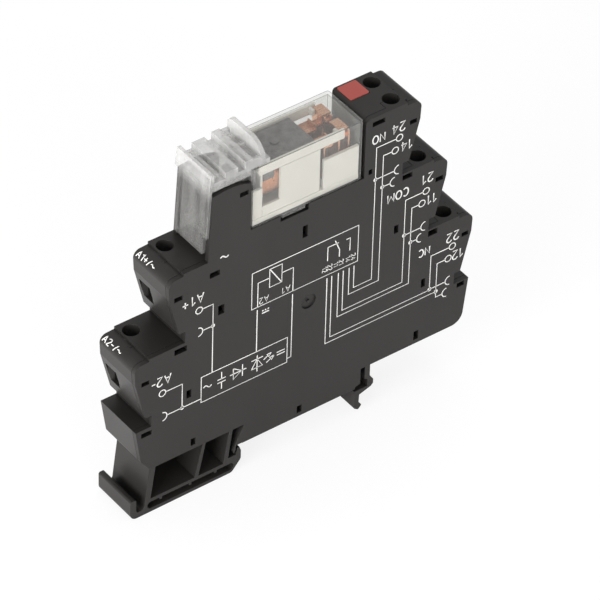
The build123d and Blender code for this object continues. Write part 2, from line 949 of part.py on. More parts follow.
def strip_sides(side):
    """Y range of the contact strips of one pole."""
    return sorted((side * strip_y_from, side * strip_y_to))


def pin(x, y, top):
    """One flat relay pin."""
    x_half = pin_thickness / 2
    y_half = pin_width / 2
    return block(x - x_half, x + x_half, y - y_half, y + y_half, bay_floor - pin_length, top)


def relay_base():
    """Base plate with the contact block and the shoulders of the hood."""
    gap = case_wall + base_clearance
    inner = relay_half - gap
    base = block(relay_start + gap, relay_end - gap, -inner, inner, bay_floor, base_top)
    base += block(block_left, block_right, -block_half, block_half, base_top, block_foot)
    for y_from, y_to in ((-block_half, -4.9), (-0.7, 0.7), (4.9, block_half)):
        base += block(block_left, block_right, y_from, y_to, block_foot, block_top)
    for side in (-1, 1):
        y_from, y_to = sorted((side * (hood_half - hood_wall), side * hood_half))
        base += block(hood_left, window_left, y_from, y_to, base_top, shoulder_top)
    gap = base_clearance + seam / 2
    for side in (-1, 1):
        y_from, y_to = strip_sides(side)
        y_from -= gap
        y_to += gap
        for pin_x, riser_x in ((nc_pin_x, nc_riser_x), (com_pin_x, spring_x), (no_pin_x, no_riser_x)):
            x_from = min(pin_x, riser_x) - pin_thickness / 2 - gap
            x_to = max(pin_x, riser_x) + pin_thickness / 2 + gap
            base -= block(x_from, x_to, y_from, y_to, bay_floor - over, run_height + 0.4)
            riser_from = riser_x - pin_thickness / 2 - gap
            riser_to = riser_x + pin_thickness / 2 + gap
            base -= block(riser_from, riser_to, y_from, y_to, bay_floor, block_foot + over)
    coil_x = pin_thickness / 2 + gap
    coil_y = pin_width / 2 + gap
    for y in (-pin_y, pin_y):
        base -= block(coil_pin_x - coil_x, coil_pin_x + coil_x, y - coil_y, y + coil_y, 0, base_top - 0.1)
    return base


def relay_cover():
    """Clear case over the mechanism, open below, with the catch that keys it in the bay."""
    case = block(relay_start, relay_end, -relay_half, relay_half, bay_floor, relay_top)
    case = fillet(case.edges().filter_by(Axis.Z), 0.6)
    inner = relay_half - case_wall
    case -= block(relay_start + case_wall, relay_end - case_wall, -inner, inner, bay_floor - over, roof)
    return case + block(catch_left, catch_right, -relay_half, -inner, bay_floor - catch_drop, bay_floor)


def coil_bobbin():
    """Bobbin with its two flanges on the base."""
    tube = bar_x(0, coil_height, bobbin_radius, coil_left, coil_right)
    flange_top = coil_height + winding_radius + hood_clearance
    for x_from, x_to in ((coil_left, coil_left + flange), (coil_right - flange, coil_right)):
        tube += block(x_from, x_to, -iron_half_width, iron_half_width, base_top, flange_top)
    return tube - bar_x(0, coil_height, core_radius + base_clearance, coil_left - over, coil_right + over)


def coil_winding():
    """Copper winding round the bobbin."""
    x_from = coil_left + flange + base_clearance
    x_to = coil_right - flange - base_clearance
    winding = bar_x(0, coil_height, winding_radius, x_from, x_to)
    return winding - bar_x(0, coil_height, bobbin_radius + base_clearance, x_from - over, x_to + over)


def coil_hood():
    """White insulating hood over the coil, with windows that show the winding."""
    side = outline(
        [
            (hood_left, shoulder_top),
            (hood_left, hood_end_top),
            (window_left, hood_end_top),
            (window_left, window_bottom),
            (window_right, window_bottom),
            (window_right, hood_top),
            (hood_right, hood_top),
            (hood_right, base_top),
            (window_left + hood_clearance, base_top),
            (window_left + hood_clearance, shoulder_top),
        ]
    )
    inner = hood_half - hood_wall
    hood = slab(side, -hood_half, -inner) + slab(side, inner, hood_half)
    return hood + block(window_right, hood_roof_right, -inner, inner, hood_top - hood_wall, hood_top)


def coil_core():
    """Iron core between the armature and the yoke."""
    return bar_x(0, coil_height, core_radius, core_left, yoke_x)


def magnet_yoke():
    """Bent iron yoke behind and over the coil, with a lug at each side of its free end."""
    width = iron_half_width
    iron_bottom = iron_top - yoke_plate
    yoke = block(yoke_x, yoke_x + yoke_plate, -width, width, base_top, iron_top)
    yoke += block(yoke_left, yoke_x, -width, width, iron_bottom, iron_top)
    for side in (-1, 1):
        y_from, y_to = sorted((side * (width - lug_thickness), side * width))
        yoke += block(lug_left, lug_right, y_from, y_to, lug_bottom, iron_bottom)
    for x in rivet_places:
        yoke += bar_z(x, 0, yoke_rivet_radius, iron_top, iron_top + yoke_rivet_height)
    return yoke


def armature():
    """Hinged iron plate in front of the core."""
    left = armature_left
    width = armature_half_width
    return block(left, left + armature_thickness, -width, width, base_top + 0.15, iron_top)


def pusher_card():
    """White card by which the armature pushes the contact springs."""
    bottom = hood_top + hood_clearance
    cross_top = iron_top - yoke_plate - 2 * hood_clearance
    card = block(card_left, card_left + card_bar, -hood_half, hood_half, bottom, cross_top)
    for side in (-1, 1):
        y_from, y_to = sorted((side * (hood_half - card_rail), side * hood_half))
        card += block(card_left, card_right, y_from, y_to, bottom, roof - 2 * hood_clearance)
        y_from, y_to = sorted((side * (hood_half - card_finger), side * hood_half))
        finger_right = spring_x - spring_thickness / 2 - hood_clearance
        card += block(finger_right - card_bar, finger_right, y_from, y_to, cross_top, iron_top)
    return card


def closed_contact(side):
    """Fixed contact that the spring rests on, with its pin."""
    y_from, y_to = strip_sides(side)
    strip = pin(nc_pin_x, side * pin_y, run_height)
    route = [(nc_pin_x, run_height), (nc_riser_x, run_height), (nc_riser_x, contact_height), (7.2, contact_height)]
    strip += bent_strip(route, spring_thickness, y_from, y_to)
    y_mid = side * contact_strip_y
    strip += block(7.0, 7.4, y_mid - 1.2, y_mid + 1.2, contact_height - 1.0, contact_height + 1.2)
    return strip + bar_x(y_mid, contact_height, rivet_radius, 7.4, 7.95)


def open_contact(side):
    """Fixed contact that the spring is pushed to, with its pin."""
    y_from, y_to = strip_sides(side)
    strip = pin(no_pin_x, side * pin_y, run_height)
    riser_top = contact_height + open_contact_reach
    strip += bent_strip([(no_riser_x, run_height), (no_riser_x, riser_top)], spring_thickness, y_from, y_to)
    return strip + bar_x(side * contact_strip_y, contact_height, rivet_radius, 10.35, no_riser_x)


def common_terminal(side):
    """Pin and anchor of a moving spring."""
    y_from, y_to = strip_sides(side)
    strip = pin(com_pin_x, side * pin_y, run_height)
    route = [(com_pin_x, run_height), (spring_x, run_height), (spring_x, block_foot)]
    return strip + bent_strip(route, spring_thickness, y_from, y_to)


def contact_spring(side):
    """Copper spring with a rivet on both faces and a bent head."""
    y_from, y_to = strip_sides(side)
    head_z = iron_top - spring_thickness / 2
    route = [(spring_x, spring_foot), (spring_x, head_z), (spring_head_x, head_z)]
    blade = bent_strip(route, spring_thickness, y_from, y_to)
    return blade + bar_x(side * contact_strip_y, contact_height, rivet_radius, 8.05, 9.8)


def coil_pins():
    """Two pins at the coil end."""
    return [pin(coil_pin_x, y, base_top - 0.1) for y in (-pin_y, pin_y)]


nodes["housing"] = housing()
nodes["side_cover"] = side_cover()
nodes["retaining_clip"] = retaining_clip()
nodes["red_marker_tag"] = red_marker_tag()
nodes["circuit_board"] = circuit_board()
nodes["film_capacitor"] = film_capacitor()
nodes["bridge_rectifier"] = bridge_rectifier()
nodes["smoothing_capacitor"] = smoothing_capacitor()
nodes["board_resistors"] = Compound(board_resistors())
nodes["status_led"] = status_led()
for step, y, name in terminals:
    nodes[f"clamp_screw_{name}"] = clamp_screw(step, y)
    nodes[f"clamp_yoke_{name}"] = clamp_yoke(step, y)
contact_routes = {2: (no_pin_x, 17.2), 1: (com_pin_x, com_pin_x), 0: (nc_pin_x, nc_pin_x)}
for level, (near_name, far_name) in contact_names.items():
    pin_x, riser_x = contact_routes[level]
    nodes[f"busbar_{near_name}"] = contact_busbar(contact_step(level), -screw_y, pin_x, riser_x)
    nodes[f"busbar_{far_name}"] = contact_busbar(contact_step(level), screw_y, pin_x, riser_x)
nodes["busbar_a1"] = coil_busbar(coil_step(1))
nodes["busbar_a2"] = coil_busbar(coil_step(0))
nodes["coil_socket_near"] = coil_socket(-1)
nodes["coil_socket_far"] = coil_socket(1)
nodes["relay_base"] = relay_base()
nodes["relay_cover"] = relay_cover()
nodes["coil_bobbin"] = coil_bobbin()
nodes["coil_winding"] = coil_winding()
nodes["coil_hood"] = coil_hood()
nodes["coil_core"] = coil_core()
nodes["magnet_yoke"] = magnet_yoke()
nodes["armature"] = armature()
nodes["pusher_card"] = pusher_card()
nodes["coil_pins"] = Compound(coil_pins())
for side, place in ((-1, "near"), (1, "far")):
    nodes[f"closed_contact_{place}"] = closed_contact(side)
    nodes[f"open_contact_{place}"] = open_contact(side)
    nodes[f"common_terminal_{place}"] = common_terminal(side)
    nodes[f"contact_spring_{place}"] = contact_spring(side)

os.makedirs("parts", exist_ok=True)
for name, shape in nodes.items():
    export_step(shape, f"parts/{name}.step")
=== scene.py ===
import json
from math import cos, pi, sin

import bpy
from mathutils import Matrix, Vector


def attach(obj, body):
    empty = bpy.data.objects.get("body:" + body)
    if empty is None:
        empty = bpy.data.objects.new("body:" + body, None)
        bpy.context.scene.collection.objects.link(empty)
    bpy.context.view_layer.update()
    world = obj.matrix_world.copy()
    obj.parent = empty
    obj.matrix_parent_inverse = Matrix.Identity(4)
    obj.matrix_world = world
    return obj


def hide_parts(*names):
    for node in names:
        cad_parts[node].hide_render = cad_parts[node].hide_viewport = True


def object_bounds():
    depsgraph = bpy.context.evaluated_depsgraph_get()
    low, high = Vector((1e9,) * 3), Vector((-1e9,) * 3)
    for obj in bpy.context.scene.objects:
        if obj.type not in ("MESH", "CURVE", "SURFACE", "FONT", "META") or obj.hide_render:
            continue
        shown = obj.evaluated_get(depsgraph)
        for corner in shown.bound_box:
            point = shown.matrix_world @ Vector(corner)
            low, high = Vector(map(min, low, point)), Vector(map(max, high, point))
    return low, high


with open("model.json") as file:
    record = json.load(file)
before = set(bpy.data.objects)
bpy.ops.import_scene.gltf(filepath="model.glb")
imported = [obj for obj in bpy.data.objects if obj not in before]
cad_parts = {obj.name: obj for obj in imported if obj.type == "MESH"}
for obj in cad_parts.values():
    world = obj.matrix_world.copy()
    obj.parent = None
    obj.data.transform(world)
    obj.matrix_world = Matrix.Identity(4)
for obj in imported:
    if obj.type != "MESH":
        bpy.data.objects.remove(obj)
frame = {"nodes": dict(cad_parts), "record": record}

cad_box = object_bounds()
nodes = frame["nodes"]
mm = 0.001
collection = bpy.context.scene.collection


# Shader building: a socket that takes Python's operators, and a material with one node method

class Level:
    """A number or colour that varies over a surface."""

    def __init__(self, finish, socket):
        self.finish = finish
        self.socket = socket

    def maths(self, operation, *values):
        """Result of a maths node."""
        made = self.finish.node("ShaderNodeMath", dict(enumerate(values)), operation=operation)
        return Level(self.finish, made.outputs[0])

    def __add__(self, other):
        return self.maths("ADD", self, other)

    __radd__ = __add__

    def __sub__(self, other):
        return self.maths("SUBTRACT", self, other)

    def __rsub__(self, other):
        return self.maths("SUBTRACT", other, self)

    def __mul__(self, other):
        return self.maths("MULTIPLY", self, other)

    __rmul__ = __mul__

    def __truediv__(self, other):
        return self.maths("DIVIDE", self, other)

    def __pow__(self, other):
        return self.maths("POWER", self, other)

    def clamp(self):
        return Level(self.finish, self.finish.node("ShaderNodeClamp", {"Value": self}).outputs[0])

    def above(self, edge, softness):
        """0 under the edge, 1 over it, and a slope between as wide as softness."""
        return ((self - edge) / softness + 0.5).clamp()


class Finish:
    """A procedural material."""

    def __init__(self, name):
        self.material = bpy.data.materials.new(name)
        self.material.use_nodes = True
        self.tree = self.material.node_tree
        self.tree.nodes.clear()
        self.place = Level(self, self.node("ShaderNodeTexCoord").outputs["Object"])

    def node(self, kind, values=None, **settings):
        """Adds a node: its settings first, then its sockets."""
        made = self.tree.nodes.new(kind)
        for name, value in settings.items():
            setattr(made, name, value)
        for key, value in (values or {}).items():
            if isinstance(value, Level):
                self.tree.links.new(value.socket, made.inputs[key])
            else:
                made.inputs[key].default_value = value
        return made

    def noise(self, size, detail=2.0, stretch=(1, 1, 1)):
        """Noise with features of a size in metres, stretched along the axes."""
        scaled = self.node("ShaderNodeMapping", {"Vector": self.place, "Scale": stretch})
        made = self.node(
            "ShaderNodeTexNoise",
            {"Vector": Level(self, scaled.outputs[0]), "Scale": 1 / size, "Detail": detail},
        )
        return Level(self, made.outputs["Fac"])

    def blend(self, factor, first, second):
        """Colour between two colours, which are the sockets 6 and 7 of a colour mix."""
        values = {0: factor}
        for key, value in ((6, first), (7, second)):
            values[key] = value if isinstance(value, Level) else (*value, 1)
        made = self.node("ShaderNodeMix", values, data_type="RGBA")
        return Level(self, made.outputs[2])

    def relief(self, height, depth, edge=0.0):
        """Normal from a height, over edges rounded by a radius."""
        values = {"Height": height, "Distance": depth, "Strength": 1.0}
        if edge:
            rounded = self.node("ShaderNodeBevel", {"Radius": edge}, samples=4)
            values["Normal"] = Level(self, rounded.outputs[0])
        return Level(self, self.node("ShaderNodeBump", values).outputs[0])

    def openness(self, reach):
        """1 where a surface lies open, less in recesses narrower than a reach: ambient occlusion, used as a
        mask for painted shade.
        """
        made = self.node("ShaderNodeAmbientOcclusion", {"Distance": reach}, samples=8)
        return Level(self, made.outputs["AO"])

    def edges(self, radius):
        """0 on flat surfaces, more within a radius of their edges."""
        rounded = self.node("ShaderNodeBevel", {"Radius": radius}, samples=8)
        flat = self.node("ShaderNodeNewGeometry")
        values = {0: Level(self, rounded.outputs[0]), 1: Level(self, flat.outputs["True Normal"])}
        made = self.node("ShaderNodeVectorMath", values, operation="DOT_PRODUCT")
        return 1 - Level(self, made.outputs["Value"])

    def surface(self, **sockets):
        """Principled surface; socket names are given with underscores."""
        values = {name.replace("_", " "): value for name, value in sockets.items()}
        return Level(self, self.node("ShaderNodeBsdfPrincipled", values).outputs[0])

    def mix(self, factor, first, second):
        made = self.node("ShaderNodeMixShader", {0: factor, 1: first, 2: second})
        return Level(self, made.outputs[0])

    def done(self, surface):
        self.node("ShaderNodeOutputMaterial", {"Surface": surface})
        return self.material


# Finishes

edge_radius = 0.14 * mm
# Painted shade in recesses: its reach and its near-black colour
recess_reach = 2.2 * mm
painted_shade_black = (0.002, 0.002, 0.002)
# Where the clip's head begins; below it the clip's colour carries painted shade.
clip_head_level = 73 * mm
clip_head_fade = 4 * mm


def moulded_plastic(name, colour, pale, roughness, grain=0.09 * mm, depth=0.006 * mm, recess=0.0):
    """Opaque moulded plastic with a spark-eroded grain, faint flow marks and, where a reach is given, painted
    shade that darkens its recesses.
    """
    finish = Finish(name)
    fine = finish.noise(grain, 3.0)
    flow = finish.noise(9 * mm, 2.0, (1, 1, 0.4))
    tone = finish.blend((flow * 0.7 + fine * 0.3).above(0.5, 0.6), colour, pale)
    # Painted shade: ambient occlusion darkens recesses towards near black.
    if recess:
        open_part = finish.openness(recess)
        tone = finish.blend((open_part * 1.6 - 0.25).clamp(), painted_shade_black, tone)
    rough = roughness + (flow - 0.5) * 0.12 + (fine - 0.5) * 0.08
    normal = finish.relief(fine, depth, edge_radius)
    surface = finish.surface(Base_Color=tone, Roughness=rough, Normal=normal, Specular_IOR_Level=0.26)
    return finish.done(surface)


def clear_case():
    """Clear case of the relay: seen through, with gloss that grows towards the edges, and painted shade as a
    dark line along the edges.
    """
    finish = Finish("clear_case")
    weight = finish.node("ShaderNodeLayerWeight", {"Blend": 0.3})
    facing = Level(finish, weight.outputs["Facing"])
    haze = finish.noise(4 * mm, 2.0)
    normal = finish.relief(finish.noise(2.5 * mm, 1.0), 0.012 * mm, 0.2 * mm)
    # Painted shade: the tone falls to near black along the case's edges.
    edge = (finish.edges(0.38 * mm) * 9.0 - 0.1).clamp()
    tone = finish.blend(edge, (0.50, 0.50, 0.49), (0.04, 0.04, 0.04))
    gloss = finish.surface(Base_Color=tone, Roughness=(haze * 0.08 + 0.03), Normal=normal, IOR=1.6)
    through = finish.node("ShaderNodeBsdfTransparent", {"Color": (0.965, 0.965, 0.955, 1)})
    amount = (facing ** 2.2 * 0.7 + haze * 0.06 + edge * 0.55 + 0.07).clamp()
    return finish.done(finish.mix(amount, Level(finish, through.outputs[0]), gloss))


def frosted_clip():
    """Translucent plastic of the retaining clip, milkier in its thick head than in its plate, with painted
    shade darkening the plate's colour below the head.
    """
    finish = Finish("frosted_clip")
    weight = finish.node("ShaderNodeLayerWeight", {"Blend": 0.35})
    facing = Level(finish, weight.outputs["Facing"])
    cloud = finish.noise(3 * mm, 2.0)
    streaks = finish.noise(1.5 * mm, 2.0, (1, 1, 0.08))
    height = Level(finish, finish.node("ShaderNodeSeparateXYZ", {"Vector": finish.place}).outputs["Z"])
    head = height.above(clip_head_level, clip_head_fade)
    milky = finish.blend(cloud, (0.50, 0.495, 0.485), (0.62, 0.615, 0.605))
    # Painted shade: the plate below the head gets a darker grey.
    tone = finish.blend(head, (0.33, 0.325, 0.315), milky)
    normal = finish.relief(finish.noise(0.6 * mm, 2.0), 0.008 * mm, 0.2 * mm)
    body = finish.surface(Base_Color=tone, Roughness=(cloud * 0.12 + 0.18), Normal=normal)
    through = finish.node("ShaderNodeBsdfTransparent", {"Color": (0.90, 0.90, 0.895, 1)})
    edge = (finish.edges(0.25 * mm) * 3.0).clamp()
    amount = (facing * 0.2 + (streaks - 0.5) * 0.3 + edge * 0.2 + head * 0.26 + 0.11).clamp()
    return finish.done(finish.mix(amount, Level(finish, through.outputs[0]), body))


def bright_metal(name, colour, tarnish, roughness, grain):
    """Rolled or plated metal with fine lines and slight tarnish."""
    finish = Finish(name)
    lines = finish.noise(grain, 2.0, (0.15, 1, 1))
    stain = finish.noise(1.6 * mm, 3.0)
    tone = finish.blend((stain * 1.4 - 0.3).clamp(), colour, tarnish)
    rough = roughness + (lines - 0.5) * 0.15 + stain * 0.08
    normal = finish.relief(lines, 0.004 * mm, 0.05 * mm)
    return finish.done(finish.surface(Base_Color=tone, Roughness=rough, Normal=normal, Metallic=1.0))


def coil_wire():
    """Enamelled copper wire."""
    finish = Finish("coil_wire")
    shade = finish.noise(0.8 * mm, 2.0)
    tone = finish.blend(shade, (0.62, 0.26, 0.12), (0.85, 0.42, 0.22))
    surface = finish.surface(Base_Color=tone, Roughness=(shade * 0.15 + 0.22), Metallic=0.85, Coat_Weight=0.6)
    return finish.done(surface)


def circuit_laminate():
    """Solder resist with the faint grid of the glass cloth."""
    finish = Finish("circuit_laminate")
    cloth = finish.noise(0.35 * mm, 1.0)
    tone = finish.blend(cloth, (0.02, 0.10, 0.035), (0.035, 0.17, 0.06))
    surface = finish.surface(Base_Color=tone, Roughness=0.35, Normal=finish.relief(cloth, 0.006 * mm))
    return finish.done(surface)


def lamp_resin():
    """Tinted resin of the status lamp."""
    finish = Finish("lamp_resin")
    cloud = finish.noise(1 * mm, 1.0)
    tone = finish.blend(cloud, (0.55, 0.62, 0.16), (0.70, 0.75, 0.30))
    return finish.done(finish.surface(Base_Color=tone, Roughness=0.12, Subsurface_Weight=0.3))


def print_ink():
    """Matt pale ink with a slightly uneven film."""
    finish = Finish("print_ink")
    film = finish.noise(0.25 * mm, 3.0)
    tone = finish.blend(film, (0.54, 0.53, 0.515), (0.74, 0.73, 0.71))
    return finish.done(finish.surface(Base_Color=tone, Roughness=(film * 0.2 + 0.5)))


# Both black plastics get painted shade in their recesses.
dark_plastic = moulded_plastic(
    "dark_plastic", (0.014, 0.0128, 0.0120), (0.022, 0.0204, 0.0194), 0.38, recess=recess_reach
)
cover_plastic = moulded_plastic(
    "cover_plastic", (0.013, 0.0119, 0.0111), (0.020, 0.0185, 0.0175), 0.46, recess=recess_reach
)
white_plastic = moulded_plastic("white_plastic", (0.62, 0.60, 0.555), (0.72, 0.70, 0.65), 0.38, 0.2 * mm)
red_plastic = moulded_plastic("red_plastic", (0.29, 0.055, 0.045), (0.37, 0.080, 0.064), 0.45, 0.15 * mm)
part_plastic = moulded_plastic("part_plastic", (0.03, 0.03, 0.034), (0.05, 0.05, 0.055), 0.35)
clear_plastic = clear_case()
clip_plastic = frosted_clip()
copper = bright_metal("copper_alloy", (0.86, 0.50, 0.33), (0.66, 0.34, 0.20), 0.22, 0.12 * mm)
plated_steel = bright_metal("plated_steel", (0.62, 0.62, 0.61), (0.42, 0.42, 0.42), 0.30, 0.10 * mm)
soft_iron = bright_metal("soft_iron", (0.27, 0.26, 0.26), (0.10, 0.095, 0.095), 0.30, 0.15 * mm)
wire = coil_wire()
laminate = circuit_laminate()
resin = lamp_resin()
ink = print_ink()

finish_of_slot = {
    "dark_plastic": dark_plastic,
    "grey_plastic": cover_plastic,
    "clear_plastic": clear_plastic,
    "clip_plastic": clip_plastic,
    "red_plastic": red_plastic,
    "white_plastic": white_plastic,
    "board_laminate": laminate,
    "component_plastic": part_plastic,
    "led_resin": resin,
    "copper_alloy": copper,
    "plated_steel": plated_steel,
    "soft_iron": soft_iron,
    "coil_wire": wire,
}


def dress_nodes():
    """Gives every node of the frame the finish of its slot."""
    for part in frame["record"]["subparts"]:
        mesh = nodes[part["node"]].data
        mesh.materials.clear()
        mesh.materials.append(finish_of_slot[part["material_slot"]])


# Print on the cover: places from the middle of the printed face, in millimetres

print_x = -1.5
print_z = 33.2
line_width = 0.25
letter_width = 0.33
small_width = 0.19
mark_width = 0.24
ink_film = 0.02
face_y = cad_box[0][1] / mm

ring_radius = 0.85
dot_radius = 0.52
dot_sides = 16
fork_radius = 1.15
ring_wires = [
    [(-26.3, 10.1), (-22.7, 10.1), (-22.7, -8.9)],
    [(-35.5, -8.2), (-30.4, -8.2), (-30.4, -14.9)],
    [(25.0, 32.5), (19.0, 32.5), (19.0, -3.5), (14.2, -3.5), (14.2, 2.6)],
    [(24.0, 29.5), (20.9, 29.5), (20.9, -4.8), (12.9, -4.8), (12.9, 2.6)],
    [(32.9, 14.3), (27.4, 14.3), (27.4, -8.5), (11.35, -8.5), (11.35, 2.6)],
    [(31.9, 11.3), (29.2, 11.3), (29.2, -9.7), (10.05, -9.7), (10.05, 2.6)],
    [(40.9, -4.9), (35.1, -4.9), (35.1, -14.5), (8.3, -14.5), (8.3, 2.6)],
    [(39.9, -7.9), (36.9, -7.9), (36.9, -15.8), (7.05, -15.8), (7.05, 2.6)],
]
fork_wires = [
    [(-25.3, 4.1), (-22.7, 4.1)],
    [(-34.3, -14.9), (-25.5, -14.9)],
    [(24.0, 23.9), (19.0, 23.9)],
    [(23.0, 21.0), (20.9, 21.0)],
    [(31.9, 4.6), (27.4, 4.6)],
    [(30.9, 1.8), (29.2, 1.8)],
    [(39.4, -14.3), (35.1, -14.3)],
    [(38.7, -17.4), (36.9, -17.4), (36.9, -15.8)],
]
dots = [
    (-22.7, 4.1), (-30.4, -14.9), (19.0, 23.9), (20.9, 21.0), (27.4, 4.6), (29.2, 1.8), (35.1, -14.3),
    (36.9, -15.8),
]
coil_wires = [
    [(-8.15, 10.1), (-11.15, 10.1), (-11.15, 3.5)],
    [(-4.95, 10.0), (-1.97, 10.0), (-1.97, 3.5)],
    [(-11.2, 2.75), (-11.2, -8.9)],
    [(-2.0, 2.6), (-2.0, -14.9), (-3.05, -14.9)],
    [(-8.1, 12.45), (-5.0, 7.48)],
]
contact_marks = [
    [(7.02, 7.4), (7.02, 11.08), (9.8, 11.08)],
    [(10.13, 7.1), (10.13, 9.07), (8.92, 12.02)],
    [(12.88, 7.5), (12.9, 10.97), (11.87, 10.93)],
]
frames = [
    [(-12.72, 3.5), (15.05, 3.5), (15.05, 13.4), (-12.72, 13.4)],
    [(-8.15, 7.48), (-4.95, 7.48), (-4.95, 12.45), (-8.15, 12.45)],
    [(-25.5, -15.95), (-3.05, -15.95), (-3.05, -8.9), (-25.5, -8.9)],
]
labels = [
    ("24", 24.7, 35.3, 2.4),
    ("14", 27.0, 29.6, 2.4),
    ("21", 33.2, 17.7, 2.4),
    ("11", 34.6, 11.5, 2.4),
    ("22", 40.9, -2.2, 2.4),
    ("12", 42.5, -7.8, 2.4),
    ("A1", -26.7, 13.4, 2.4),
    ("A2", -35.1, -4.8, 2.4),
    ("+", -29.85, 13.1, 2.4),
    ("-", -37.8, -4.8, 1.8),
    ("NO", 19.5, 34.8, 2.1),
    ("COM", 25.3, 16.7, 2.2),
    ("NC", 33.2, -2.8, 2.0),
    ("~", -20.0, 21.7, 2.6),
    ("=", -9.05, 1.5, 2.4),
]
pin_labels = [
    ("12", 6.3, 5.3, 1.15),
    ("22", 7.7, 5.3, 1.15),
    ("11", 9.3, 5.3, 1.15),
    ("21", 10.7, 5.3, 1.15),
    ("14", 12.45, 5.3, 1.15),
    ("24", 13.85, 5.3, 1.15),
]
coil_labels = [("A2", -9.5, 4.8, 1.6), ("A1", -3.75, 4.8, 1.6)]


def arc(x, z, radius, start, end, steps=14, tall=1.0):
    """Points along a part of a circle, or of an oval that is tall times as high as wide."""
    turns = [start + (end - start) * i / steps for i in range(steps + 1)]
    return [(x + radius * cos(turn), z + radius * tall * sin(turn)) for turn in turns]


def wave(x, z, length, height, steps=14):
    """Points along one full wave."""
    return [(x + length * i / steps, z + height * sin(2 * pi * i / steps)) for i in range(steps + 1)]


# Letter strokes: width of each sign and its lines, for a height of 1
oval = 1.47
letters = {
    "1": (0.36, [[(0.0, 0.74), (0.3, 1.0), (0.3, 0.0)]]),
    "2": (0.56, [arc(0.28, 0.73, 0.27, 2.9, -0.75, 10) + [(0.01, 0.0), (0.56, 0.0)]]),
    "4": (0.60, [[(0.44, 0.0), (0.44, 1.0), (0.0, 0.28), (0.6, 0.28)]]),
    "A": (0.66, [[(0.0, 0.0), (0.33, 1.0), (0.66, 0.0)], [(0.13, 0.34), (0.53, 0.34)]]),
    "C": (0.58, [arc(0.34, 0.5, 0.34, 0.8, 5.48, tall=oval)]),
    "M": (0.76, [[(0.0, 0.0), (0.03, 1.0), (0.38, 0.25), (0.73, 1.0), (0.76, 0.0)]]),
    "N": (0.58, [[(0.0, 0.0), (0.0, 1.0), (0.58, 0.0), (0.58, 1.0)]]),
    "O": (0.68, [arc(0.34, 0.5, 0.34, 0, 2 * pi, 18, oval)]),
    "+": (0.58, [[(0.0, 0.5), (0.58, 0.5)], [(0.29, 0.16), (0.29, 0.84)]]),
    "-": (0.50, [[(0.0, 0.5), (0.50, 0.5)]]),
    "/": (0.36, [[(0.0, 0.0), (0.36, 1.0)]]),
    "~": (0.80, [wave(0.0, 0.5, 0.8, 0.12)]),
    "=": (0.76, [[(0.0, 0.64), (0.76, 0.64)]] + [[(u, 0.36), (u + 0.16, 0.36)] for u in (0.0, 0.3, 0.6)]),
}
letter_gap = 0.24


def lettering(words, x, z, height, turn):
    """Strokes of a label centred on a place and turned by an angle."""
    strokes = []
    reach = 0
    for sign in words:
        width, lines = letters[sign]
        strokes += [[(reach + u, v - 0.5) for u, v in line] for line in lines]
        reach += width + letter_gap
    middle = (reach - letter_gap) / 2
    across, along = cos(turn) * height, sin(turn) * height
    return [
        [(x + (u - middle) * across - v * along, z + (u - middle) * along + v * across) for u, v in line]
        for line in strokes
    ]


def all_lettering(rows, turn):
    """Strokes of several labels."""
    return [stroke for row in rows for stroke in lettering(*row, turn)]


def shortened(points, length):
    """A line that starts a length later."""
    (xa, za), (xb, zb) = points[:2]
    share = length / ((xb - xa) ** 2 + (zb - za) ** 2) ** 0.5
    return [(xa + (xb - xa) * share, za + (zb - za) * share)] + points[1:]


def mouth(wire):
    """Half circle at the start of a wire, open away from it."""
    (x, z), (next_x, _) = wire[:2]
    side = 1 if x > next_x else -1
    return arc(x + side * fork_radius, z, fork_radius, pi / 2, pi / 2 + side * pi)


def ring(x, z):
    """Closed circle of a terminal."""
    return arc(x, z, ring_radius, 0, 2 * pi * 15 / 16, 15)


def supply_symbols():
    """Symbols in the supply box: wave, capacitor, diode, lamp diode with its two rays, and a bar pair."""
    level = -12.2
    shapes = [wave(-24.9, level, 2.1, 0.35)]
    for side in (1, -1):
        plate = level - 0.15 + side * 0.45
        shapes += [[(-20.2, plate), (-20.2, plate + side * 1.9)], [(-21.3, plate), (-19.15, plate)]]
    shapes += [[(-17.15, level + 1.5), (-15.0, level), (-17.15, level - 1.5), (-17.15, level + 1.5)]]
    shapes += [[(-14.75, level + 1.6), (-14.75, level - 1.65)], [(-18.05, level), (-13.75, level)]]
    shapes += [[(-12.4, level - 1.25), (-9.5, level - 1.25), (-10.95, level + 1.15), (-12.4, level - 1.25)]]
    shapes += [[(-12.45, level + 1.15), (-9.4, level + 1.15)], [(-10.93, level + 2.2), (-10.93, level - 2.3)]]
    for x, z in ((-9.25, level + 0.05), (-8.5, level - 1.1)):
        shapes += [[(x, z), (x + 1.3, z + 0.7)]]
        shapes += [[(x + 2.0, z + 1.1), (x + 0.85, z + 1.05), (x + 1.35, z + 0.2), (x + 2.0, z + 1.1)]]
    shapes += [[(-5.8, level + 0.35), (-3.7, level + 0.35)], [(-5.75, level - 0.4), (-3.65, level - 0.4)]]
    return shapes


def on_face(x, z):
    """Place on the printed face."""
    return ((x + print_x) * mm, face_y * mm, (z + print_z) * mm)


def poly_curve(name, lines, closed, place):
    """Curve object of straight runs on a printed surface."""
    curve = bpy.data.curves.new(name, "CURVE")
    curve.dimensions = "3D"
    for points in lines:
        spline = curve.splines.new("POLY")
        spline.points.add(len(points) - 1)
        for target, point in zip(spline.points, points):
            target.co = (*place(*point), 1)
        spline.use_cyclic_u = closed
    piece = bpy.data.objects.new(name, curve)
    collection.objects.link(piece)
    return piece


def input_key(tree, name):
    """Identifier of a tree's input socket."""
    return next(item.identifier for item in tree.interface.items_tree if item.name == name)


